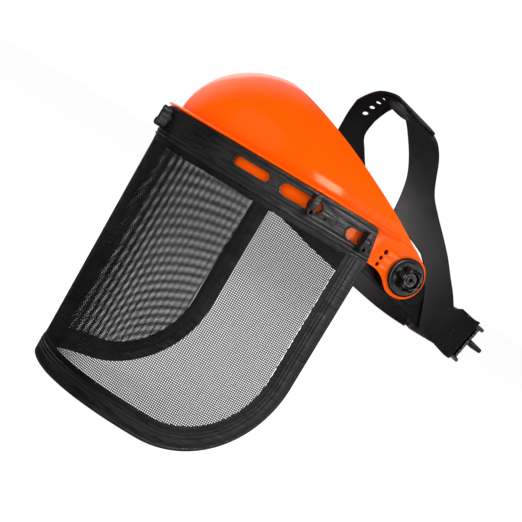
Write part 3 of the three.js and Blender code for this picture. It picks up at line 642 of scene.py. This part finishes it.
# ---- turn buttons ----
def button():
    """A turn button about its axis: the bar with a bored boss at its lower end, the collar and the shank."""
    low, boss_low = THICK / 2 + 0.4, -5.15
    outline = [stadium(8.25, 3.1, 12, upright=True), circle(1.35, (0, boss_low), 20)]
    points, faces = flat_plate(outline, 7.9, 0.5, vs=[-4, -2, 0, 2, 4, 6])
    waist = 1 - 0.25 * smoothstep(points[:, 1], -3.5, -0.5) * (points[:, 2] > 3)
    points = np.stack([points[:, 0] * waist, points[:, 1], low + points[:, 2]], 1)
    boss = turned([(1.45, low + 7), (2.7, low + 7), (2.7, low + 8.4), (2.4, low + 8.7), (1.75, low + 8.7),
                   (1.45, low + 8.4), (1.45, low + 7)], segments=28)
    boss = (boss[0] + [0, boss_low, 0], boss[1])
    shank = turned([(2.5, -THICK / 2 - 5.4), (2.6, -THICK / 2 - 5), (2.6, low + 1)], segments=28)
    collar = turned([(4.2, THICK / 2 + 0.1), (4.2, low + 0.5), (3.6, low + 1.0), (2.6, low + 1.0)],
                    segments=32)
    return gathered([(points, faces), boss, shank, collar])


BUTTON = button()
for name, (s, z) in BUTTONS.items():
    piece("grip_button_" + name, standing(BUTTON, s, z), "button_" + name, black,
          ["turn_button_" + name])


# ---- hinge knobs ----
def to_side(shape, sign):
    """A shape made about +Z, turned to the hinge axis on one side."""
    points, faces = shape
    return np.stack([sign * points[:, 2], sign * points[:, 0], points[:, 1]], 1), faces


def side_knob():
    """A hinge knob: a flat disc with a rounded rim and a six-lobed hub that is hollow round its nut."""
    foot = ARM_OUTER + 0.4
    top = foot + 11.5
    disc = turned([(5.4, foot), (13.6, foot), (14.3, foot + 0.5), (14.5, foot + 1.2), (14.4, foot + 2.3),
                   (13.9, foot + 2.9), (12.8, foot + 3.15), (12.2, foot + 2.9), (9.5, foot + 3.2),
                   (5.4, foot + 3.4), (5.4, foot)], segments=96)
    hub = turned([(5.4, foot + 2), (8.6, foot + 2, 1.1), (8.5, foot + 3.6, 1.15), (8.3, foot + 6, 1.2),
                  (8.2, top - 2.2, 1.2), (8.0, top - 1.1, 1.15), (7.5, top - 0.4, 0.95),
                  (7.0, top - 0.1, 0.6), (6.6, top, 0.3), (6.1, top - 0.15), (5.7, top - 0.7),
                  (5.45, top - 2), (5.4, top - 5),
                  (5.4, foot + 2)], lobes=6, segments=120)
    return gathered([disc, hub])


for side, sign in (("left", 1), ("right", -1)):
    piece("grip_knob_" + side, to_side(side_knob(), sign), "knob_" + side, gloss_black,
          ["side_knob_" + side])


# ---- headband ----
def tilted(points):
    x, y, w = np.asarray(points, float).T
    return np.stack([x, y * math.cos(TILT) + w * math.sin(TILT), w * math.cos(TILT) - y * math.sin(TILT)], 1)


def band_plan(turn, out):
    power = 2 / BAND_ROUND
    sine, cosine = np.sin(np.radians(turn)), np.cos(np.radians(turn))
    x = np.sign(sine) * (BAND_HALF_WIDTH + out) * np.abs(sine) ** power
    y = BAND_MIDDLE - np.sign(cosine) * (BAND_HALF + out) * np.abs(cosine) ** power
    return x, y


def on_band(turn, height, out):
    x, y = band_plan(turn, out)
    climb = NAPE_RISE * (1 - smoothstep(np.abs(180 - np.abs(turn)), 0, 50))
    return tilted(np.stack([x, y, height + climb], 1))


TURNS = np.linspace(0, 180, 2001)
PLAN_X, PLAN_Y = band_plan(TURNS, SIDE_INNER)
PLAN_WALK = np.concatenate([[0], np.cumsum(np.hypot(np.diff(PLAN_X), np.diff(PLAN_Y)))])
ARCH_T = np.linspace(0, math.pi / 2 * 1.35, 4001)
ARCH_X = np.sign(np.cos(ARCH_T)) * 86 * np.abs(np.cos(ARCH_T)) ** 0.8
ARCH_Z = (CROWN_TOP + 2) * np.abs(np.sin(ARCH_T)) ** 0.8
ARCH_WALK = np.concatenate([[0], np.cumsum(np.hypot(np.diff(ARCH_X), np.diff(ARCH_Z)))])
WALK_60 = float(np.interp(60, PLAN_Y, PLAN_WALK))


def rise_of_share(share):
    return np.interp(np.asarray(share) * math.pi / 2, ARCH_T, ARCH_WALK)


def rise_of_height(w):
    w = np.asarray(w, float)
    quarter = ARCH_T <= math.pi / 2
    return np.where(w <= 0, w, np.interp(w, ARCH_Z[quarter], ARCH_WALK[quarter]))


def back_of_turn(turn):
    """The side piece's flat coordinate: distance back from the hinge, and past 60 the walk round the nape."""
    y, walk = np.interp(turn, TURNS, PLAN_Y), np.interp(turn, TURNS, PLAN_WALK)
    return np.where(y <= 60, y, 60 + walk - WALK_60)


def on_side(back, rise, out):
    """A point of the left side piece from its flat coordinates."""
    walk = WALK_60 + np.maximum(0, back - 60)
    y = np.where(back <= 60, back, np.interp(walk, PLAN_WALK, PLAN_Y))
    turn = np.interp(y, PLAN_Y, TURNS)
    turn = np.where(back > 60, np.interp(walk, PLAN_WALK, TURNS), turn)
    x, y = band_plan(turn, out)
    t = np.interp(np.maximum(rise, 0), ARCH_WALK, ARCH_T)
    x = x * np.where(rise > 0, np.sign(np.cos(t)) * np.abs(np.cos(t)) ** 0.8, 1)
    w = np.where(rise > 0, (CROWN_TOP + out) * np.sin(t) ** 0.8, rise)
    climb = NAPE_RISE * (1 - smoothstep(180 - turn, 0, 50))
    return tilted(np.stack([x, y, w + climb], 1))


def spline(points, count):
    """A smooth curve through the points."""
    p = np.array(points, float)
    p = np.concatenate([[2 * p[0] - p[1]], p, [2 * p[-1] - p[-2]]])
    out = []
    for k in range(1, len(p) - 2):
        for t in np.linspace(0, 1, count, endpoint=False):
            out.append(0.5 * (2 * p[k] + (p[k + 1] - p[k - 1]) * t
                              + (2 * p[k - 1] - 5 * p[k] + 4 * p[k + 1] - p[k + 2]) * t**2
                              + (3 * p[k] - p[k - 1] - 3 * p[k + 1] + p[k + 2]) * t**3))
    out.append(p[-2])
    return out


# The crown strap's edges above the hinge: share of the way up to the crown, and distance back.
FRONT_EDGE = [(0.13, -33), (0.22, -36), (0.32, -40), (0.42, -46), (0.52, -52), (0.64, -57.5)]
REAR_EDGE = {
    "left": [(0.02, 66), (0.07, 50), (0.11, 37), (0.16, 24), (0.21, 11), (0.27, -3), (0.34, -14),
             (0.45, -19.5), (0.64, -23)],
    "right": [(0.02, 66), (0.07, 54), (0.12, 44), (0.19, 32), (0.28, 15), (0.36, 0), (0.43, -13), (0.51, -26),
              (0.64, -33)],
}
# The strap's end: front edge, rear edge, rear edge past the crown, forward shift, and share where it ends.
TONGUE = {"left": (-57, -26, -38, 0.0, 1.072), "right": (-60, -41, -26, 2.0, 1.21)}
PEGS = [0.974, 1.054]
HOLES = [2 - p for p in PEGS] + [2 - PEGS[1] - step * 0.08 for step in (1, 2, 3, 4)]


def side_outline(side):
    """The flat outline of one side piece: round the hinge, up to the crown, and back to the nape."""
    front_tip, rear_tip, beyond_tip, forward, end = TONGUE[side]
    climb = spline(FRONT_EDGE, 18)
    front = [(b - forward * i / 90, float(rise_of_share(a))) for i, (a, b) in enumerate(climb)]
    rear = [(b, float(rise_of_share(a))) for a, b in spline(REAR_EDGE[side], 12)]
    run_front, run_rear = [], []
    for share in np.linspace(0.64, end, 26)[1:]:
        narrowing = np.clip((share - 0.64) / 0.26, 0, 1)
        beyond = np.clip((share - 1) / 0.2, 0, 1)
        rise = float(rise_of_share(share))
        run_front.append((mix(-57.5 - forward, front_tip, narrowing), rise))
        run_rear.append((mix(mix(REAR_EDGE[side][-1][1], rear_tip, narrowing), beyond_tip, beyond), rise))
    a, b = run_front[-1], run_rear[-1]
    turn = np.linspace(0.15, math.pi - 0.15, 9)
    middle, half = (a[0] + b[0]) / 2, (b[0] - a[0]) / 2
    cap = [(middle - half * math.cos(t), a[1] + 0.45 * half * math.sin(t)) for t in turn]
    top = []
    for angle in np.linspace(121.5, 152.6, 16):
        height = mix(14.5, 19.0, np.clip((angle - 110) / 35, 0, 1))
        top.append((float(back_of_turn(angle)), float(rise_of_height(height))))
    tail_low, tail_end = float(back_of_turn(153.2)), float(back_of_turn(172))
    tail = [(tail_low, 10.0), (tail_end - 3, 10.0), (tail_end, 7.0), (tail_end, -7.5), (tail_end - 3, -10.5),
            (tail_low, -10.5), (float(back_of_turn(152.6)), -18.5)]
    under = [(46.6, -18.5), (42.4, -14.3), (35.5, -5.5), (27.5, 3.5), (17.5, 11.2), (10.5, 17.8), (4, 21.5),
             (-6, 23.3), (-16, 24.3), (-26, 26.2)]
    under = [(u, float(rise_of_height(w))) for u, w in under]
    return under + front + run_front + cap + run_rear[::-1] + rear[::-1][:-4] + top + tail


def side_piece(side):
    holes = []
    if side == "right":
        for share in HOLES:
            middle = mix(-51.0, -44.0, np.clip((0.87 - share) / 0.25, 0, 1))
            holes.append(circle(2.5, (middle, float(rise_of_share(share))), 18, 1.12))
    points, faces = flat_plate([side_outline(side), *holes], STRAP, 0.35, np.arange(-72, 150, 3.0),
                               np.arange(-17.6, 215, 3.0))
    back, rise, w = points.T
    lift = np.zeros(len(points))
    if side == "right":
        lift = 1.75 * smoothstep(rise, float(rise_of_share(0.45)), float(rise_of_share(0.92)))
    dimple = 1.2 * np.exp(-(((back - 17) ** 2 + (rise - 52) ** 2) / 2.2**2))
    relief = np.where(w > STRAP * 0.5, -dimple, 0)
    return on_side(back, rise, SIDE_INNER + w + lift + relief), faces


def tab():
    """The strap's end round the hinge bolt, under the side piece."""
    loop = [(30, 2), (33, -8), (24, -12.5), (8, -13)] + [
        (13 * math.cos(t), 13 * math.sin(t)) for t in np.linspace(-1.6, -math.pi - 1.6, 16)] + [(12, 16)]
    loop = [(u, float(rise_of_height(w))) for u, w in loop]
    points, faces = flat_plate([loop, circle(3.6)], 1.0, 0.2, np.arange(-12, 40, 3.0),
                               np.arange(-12, 18, 3.0))
    return on_side(points[:, 0], points[:, 1], SIDE_INNER - 0.3 + points[:, 2]), faces


def crown_place(shape, share):
    """A shape made about the origin with +Z out, square to the strap at the crown."""
    middle = float(mix(-51.0, -44.0, np.clip((0.87 - share) / 0.25, 0, 1)))
    rise = float(rise_of_share(share))
    foot, ahead, across = (on_side(np.array([b]), np.array([r]), 0.0)[0] for b, r in (
        (middle, rise), (middle, rise + 0.5), (middle + 0.5, rise)))
    u = (across - foot) / np.linalg.norm(across - foot)
    v = (ahead - foot) / np.linalg.norm(ahead - foot)
    w = np.cross(u, v)
    if w[2] < 0:
        w = -w
    points = np.asarray(shape[0])
    return foot + points[:, :1] * u + points[:, 1:2] * v + points[:, 2:3] * w, shape[1]


def peg():
    """A headed peg of the left half, which the right half's holes fit over."""
    low, top = SIDE_INNER + 0.5, SIDE_INNER + 3.6
    return turned([(1.6, low), (1.6, top), (2.8, top), (2.9, top + 0.4), (2.5, top + 0.9), (1.4, top + 1.2),
                   (0.4, top + 1.25)], segments=28)


def star(back, rise):
    """A small raised mould mark of three crossed bars."""
    sunk = SIDE_INNER + STRAP - 0.35
    parts = []
    for k in range(3):
        a = math.radians(20 + 60 * k)
        c, s = math.cos(a), math.sin(a)
        loop = [(x * c - y * s, x * s + y * c) for x, y in stadium(2.6, 0.45, 6)]
        points, faces = flat_plate([loop], 0.7, 0.15)
        parts.append((on_side(points[:, 0] + back, points[:, 1] + rise, sunk + points[:, 2]), faces))
    return gathered(parts)


def mirrored(shape):
    return np.asarray(shape[0]) * [-1, 1, 1], [face[::-1] for face in shape[1]]


left = gathered([side_piece("left"), star(80, -2)] + [crown_place(peg(), share) for share in PEGS])
right = mirrored(gathered([side_piece("right"), star(80, -2)]))
piece("band_side_left", left, "headgear", strap, ["headband_side_left"])
piece("band_side_right", right, "headgear", strap, ["headband_side_right"])
# The tabs take the darker copy of the strap plastic, painted shade.
piece("band_tab_left", tab(), "headgear", strap_painted_shade)
piece("band_tab_right", mirrored(tab()), "headgear", strap_painted_shade)


def front_strap():
    def place(turn, share, side):
        back = smoothstep(np.abs(turn), 55, 78)
        low = mix(2.0, -18.5 + 0.8 * smoothstep(-np.abs(turn), -89.5, -88), smoothstep(np.abs(turn), 48, 73))
        height = mix(low, mix(24.0, 13.0, back), share)
        ridge = 0.5 * np.exp(-(((share - 0.08) / 0.03) ** 2)) + 0.5 * np.exp(-(((share - 0.92) / 0.03) ** 2))
        return on_band(turn, height, 1.8 * side + ridge * side * 0.5)

    turns = np.concatenate([np.arange(-112, -60, 1.5), np.linspace(-60, 60, 100),
                            np.arange(61.5, 112.6, 1.5)])
    return plate(turns, np.array([0, 0.04, 0.08, 0.12, 0.3, 0.5, 0.7, 0.88, 0.92, 0.96, 1]), place)


# The front strap takes the darker copy of the strap plastic, painted shade for the shadow it lies in.
piece("band_front", front_strap(), "headgear", strap_painted_shade, ["headband_front"], bevel=0.3)

# ---- nape ratchet ----
RATCHET_LOW, RATCHET_HIGH = -17.5, 16.8
DIAL_UP = 2.5  # the dial's axis above the housing's middle


def ratchet_cover():
    """The housing's outer shell, the same upside down: two flanges, two fine ribs and a hollow inside."""
    low, high = RATCHET_LOW, RATCHET_HIGH
    half = [(0, 0.1), (0, 9.9), (0.35, 10.4), (0.9, 10.5), (2.3, 10.5), (2.8, 10.2), (3.0, 9.6), (3.2, 7.9),
            (3.9, 7.6), (8, 7.6), (8.3, 7.9), (9, 7.9), (9.3, 7.6)]
    hollow = [(high - 3, 0.1), (high - 3, 5.8), (low + 3, 5.8), (low + 3, 0.1)]
    profile = [(low + a, b) for a, b in half] + [(high - a, b) for a, b in half[::-1]] + hollow
    return sweep(np.linspace(154, 206, 60), profile, on_band)


def ratchet_place(shape):
    """A shape made about +Z, turned to the dial's axis at the nape."""
    points, faces = shape
    points = np.asarray(points, float)
    middle = (RATCHET_LOW + RATCHET_HIGH) / 2 + NAPE_RISE + DIAL_UP
    return tilted(np.stack([points[:, 0], BAND_REAR + points[:, 2], middle - points[:, 1]], 1)), faces


def ratchet_knob():
    """The nape dial: a lobed cone with a grip bar across its end."""
    foot, top = 8.0, 21.5
    cone = turned([(2.2, foot), (10.5, foot), (11, foot + 0.6, 0.1), (11, foot + 3.8, 0.25),
                   (10.6, foot + 4.9, 0.3), (9.4, foot + 6.5, 0.3), (8.2, foot + 8.4, 0.25),
                   (7, foot + 10.2, 0.1), (5.8, foot + 12, 0), (5, top - 0.6), (4.2, top), (2.2, top),
                   (2.2, foot)], lobes=14, segments=140)
    bar_points, bar_faces = flat_plate([stadium(10, 2, 12)], 14.6, 0.6, steps=3)
    narrow = 1 - 0.12 * smoothstep(bar_points[:, 2], 3, 14.6)
    bar_points = np.stack([bar_points[:, 0] * narrow, bar_points[:, 1], bar_points[:, 2] + top - 2.4], 1)
    return ratchet_place(gathered([cone, (bar_points, bar_faces)]))


piece("ratchet_housing", ratchet_cover(), "headgear", black, ["ratchet_cover"])
piece("grip_ratchet", ratchet_knob(), "ratchet_dial", black, ["ratchet_knob"])


# ---- soft sweatband ----
def cloth():
    material = moulded("sweat_fabric", (0.020, 0.020, 0.022), (0.036, 0.036, 0.040), (0.85, 1.0), 0.5,
                       cloud=90, weave=1300)
    shader = material.node_tree.nodes["Principled BSDF"]
    shader.inputs["Sheen Weight"].default_value = 0.35
    shader.inputs["Sheen Roughness"].default_value = 0.5
    return material


def sweatband():
    """A closed padded sleeve inside the front strap, swollen by cloth simulation."""
    def place(turn, share, side):
        edge = 1 - np.abs(2 * share - 1) ** 3
        end = 1 - smoothstep(np.abs(turn), 41, 46)
        fat = mix(0.8, 3.4, edge * end)
        return on_band(turn, mix(4.8, 21.2, share), -0.9 - fat * (1 - side))

    points, faces = plate(np.linspace(-45.6, 45.6, 62), np.linspace(0, 1, 8), place)
    mesh = bpy.data.meshes.new("sleeve")
    mesh.from_pydata((points * MM).tolist(), [], faces)
    sleeve = bpy.data.objects.new("sleeve", mesh)
    bpy.context.scene.collection.objects.link(sleeve)
    remesh = sleeve.modifiers.new("even", "REMESH")
    remesh.mode, remesh.voxel_size = "VOXEL", 0.0022
    bpy.context.view_layer.update()
    even = bpy.data.meshes.new_from_object(sleeve.evaluated_get(bpy.context.evaluated_depsgraph_get()))
    sleeve.modifiers.clear()
    sleeve.data = even
    start = np.array([v.co for v in even.vertices], float)
    moved = start
    soft = sleeve.modifiers.new("swell", "CLOTH")
    soft.settings.use_pressure, soft.settings.uniform_pressure_force = True, 4.0
    soft.settings.effector_weights.gravity = 0
    soft.settings.quality = 4
    soft.settings.tension_stiffness = 25
    for number in range(1, 15):
        bpy.context.scene.frame_set(number)
    swollen = sleeve.evaluated_get(bpy.context.evaluated_depsgraph_get())
    moved = np.array([v.co for v in swollen.data.vertices], float)
    sleeve.modifiers.clear()
    bpy.context.scene.frame_set(1)
    step = moved - start
    size = np.linalg.norm(step, axis=1)[:, None]
    most = 0.8 * MM
    step *= np.minimum(1, most / np.maximum(size, 1e-9))
    puffed = (start + step) / MM
    result = puffed, [tuple(p.vertices) for p in even.polygons]
    bpy.data.objects.remove(sleeve)
    return result


def stitches():
    knot, faces = turned([(0.12, 0), (0.32, 0.25), (0.32, 1.9), (0.12, 2.15)], segments=8)
    parts = []
    for height in (6.8, 19.2):
        for turn in np.arange(-42, 42.5, 2.1):
            placed = on_band(turn + knot[:, 2] * 0.55, height + knot[:, 0], -2.9 - knot[:, 1])
            parts.append((placed, faces))
    return gathered(parts)


fabric = cloth()
pad = piece("sweat_pad", sweatband(), "headgear", fabric, ["sweatband"], crease=180)
thread = moulded("thread", (0.10, 0.10, 0.11), (0.16, 0.16, 0.17), (0.7, 0.9), 0.3, 3000)
piece("sweat_pad_stitches", stitches(), "headgear", thread)

# ---- finishes for the CAD nodes that stay ----
FINISH = {"button_clip": steel, "hinge_bolt": dark_steel, "friction_washer": steel, "ratchet_screw": steel,
          "knob_nut": nut, "hinge_bushing": black, "ratchet_plate": black, "ratchet_pinion": black}
for name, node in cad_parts.items():
    for start, material in FINISH.items():
        if name.startswith(start):
            if not node.material_slots:
                node.data.materials.append(material)
            for holder in node.material_slots:
                holder.material = material


# ---- studio ----
CAMERA_AT = (0.846111, -0.436518, 0.007983)
CAMERA_TURN = (66.0, 3.414, 30.935)  # azimuth from the front, elevation and roll in degrees
FOCAL_LENGTH, FRAME_WIDTH, SENSOR = 1193.408, 522, 36  # the first two in pixels of the frame, the last in mm


def camera():
    azimuth, elevation, roll = (math.radians(v) for v in CAMERA_TURN)
    back = Vector((math.sin(azimuth) * math.cos(elevation), -math.cos(azimuth) * math.cos(elevation),
                   math.sin(elevation)))
    level = Vector((math.cos(azimuth), math.sin(azimuth), 0))
    up = back.cross(level)
    right = level * math.cos(roll) + up * math.sin(roll)
    top = up * math.cos(roll) - level * math.sin(roll)
    made = bpy.data.objects.new("camera", bpy.data.cameras.new("camera"))
    made.data.sensor_width, made.data.lens = SENSOR, FOCAL_LENGTH * SENSOR / FRAME_WIDTH
    made.data.clip_start, made.data.clip_end = 0.05, 30
    matrix = Matrix((right, top, back)).transposed().to_4x4()
    matrix.translation = Vector(CAMERA_AT)
    made.matrix_world = matrix
    bpy.context.scene.collection.objects.link(made)
    bpy.context.scene.camera = made


AIM = Vector((0, -0.05, -0.03))  # the middle of the object, which the lamps face


def lamp(name, direction, distance, size, power, glossy=True, diffuse=True, tint=(1, 1, 1)):
    """An area lamp seen from the object in a direction of azimuth and elevation."""
    azimuth, elevation = (math.radians(v) for v in direction)
    out = Vector((math.sin(azimuth) * math.cos(elevation), -math.cos(azimuth) * math.cos(elevation),
                  math.sin(elevation)))
    light = bpy.data.lights.new(name, "AREA")
    light.shape, light.size, light.size_y, light.energy = "RECTANGLE", size[0], size[1], power
    light.color = tint
    made = bpy.data.objects.new(name, light)
    made.location = AIM + out * distance
    made.rotation_mode = "QUATERNION"
    made.rotation_quaternion = out.to_track_quat("Z", "Y")
    made.visible_glossy, made.visible_diffuse = glossy, diffuse
    made.visible_camera = False
    bpy.context.scene.collection.objects.link(made)


def studio():
    """A white backdrop for the camera, a world that lights from one side, and area lamps."""
    world = bpy.data.worlds.new("studio")
    bpy.context.scene.world = world
    world.use_nodes = True
    nodes, links = world.node_tree.nodes, world.node_tree.links
    nodes.clear()
    direct = nodes.new("ShaderNodeBackground")
    direct.inputs["Color"].default_value = (1, 1, 1, 1)
    direct.inputs["Strength"].default_value = 1.05
    soft = nodes.new("ShaderNodeBackground")
    soft.inputs["Color"].default_value = (1, 1, 1, 1)
    coord = nodes.new("ShaderNodeTexCoord").outputs["Generated"]
    facing = nodes.new("ShaderNodeVectorMath")
    facing.operation = "DOT_PRODUCT"
    links.new(coord, facing.inputs[0])
    facing.inputs[1].default_value = (-0.80, -0.20, 0.56)
    links.new(ranged(nodes, links, facing.outputs["Value"], 0.80, 0.97, 0.03, 0.95), soft.inputs["Strength"])
    path = nodes.new("ShaderNodeLightPath")
    both = nodes.new("ShaderNodeMixShader")
    links.new(path.outputs["Is Camera Ray"], both.inputs["Fac"])
    links.new(soft.outputs[0], both.inputs[1])
    links.new(direct.outputs[0], both.inputs[2])
    out = nodes.new("ShaderNodeOutputWorld")
    links.new(both.outputs[0], out.inputs["Surface"])
    lamp("key", (88.5, 22), 1.3, (0.31, 0.29), 8.2, diffuse=False, tint=(1.0, 0.94, 0.92))
    lamp("rim", (-114, 8), 1.6, (1.7, 1.5), 6, diffuse=False)
    lamp("sheen", (118, 12), 1.5, (0.8, 0.7), 2.4)
    lamp("band_sheen", (103, -2), 1.4, (0.55, 0.34), 4.4, diffuse=False, tint=(1.0, 0.95, 0.96))
    lamp("fill_front", (25, 35), 1.6, (1.4, 1.2), 20, glossy=False)
    lamp("fill_left", (120, 30), 1.6, (1.2, 1.2), 11, glossy=False)
    lamp("fill_far", (-90, 40), 1.6, (1.4, 1.2), 11, glossy=False)
    lamp("fill_back", (180, 35), 1.6, (1.2, 1.2), 9, glossy=False)


def floor():
    mesh = bpy.data.meshes.new("floor")
    low = cad_box[0].z - 0.0015
    count, reach = 41, 20.0
    ticks = np.linspace(-reach, reach, count)
    x, y = np.meshgrid(ticks, ticks)
    points = np.stack([x.ravel(), y.ravel(), np.full(x.size, low)], 1)
    faces = [(j * count + i, j * count + i + 1, (j + 1) * count + i + 1, (j + 1) * count + i)
             for j in range(count - 1) for i in range(count - 1)]
    mesh.from_pydata(points.tolist(), [], faces)
    material = moulded("floor", (0.34, 0.34, 0.34), (0.36, 0.36, 0.36), (0.85, 0.95), 0.02, 300)
    shader = material.node_tree.nodes["Principled BSDF"]
    shader.inputs["Specular IOR Level"].default_value = 0.0
    shader.inputs["Emission Color"].default_value = (1, 1, 1, 1)
    shader.inputs["Emission Strength"].default_value = 0.93
    mesh.materials.append(material)
    made = bpy.data.objects.new("floor", mesh)
    made.visible_glossy = False
    bpy.context.scene.collection.objects.link(made)


camera()
studio()
floor()
bpy.context.scene.view_settings.view_transform = "Standard"
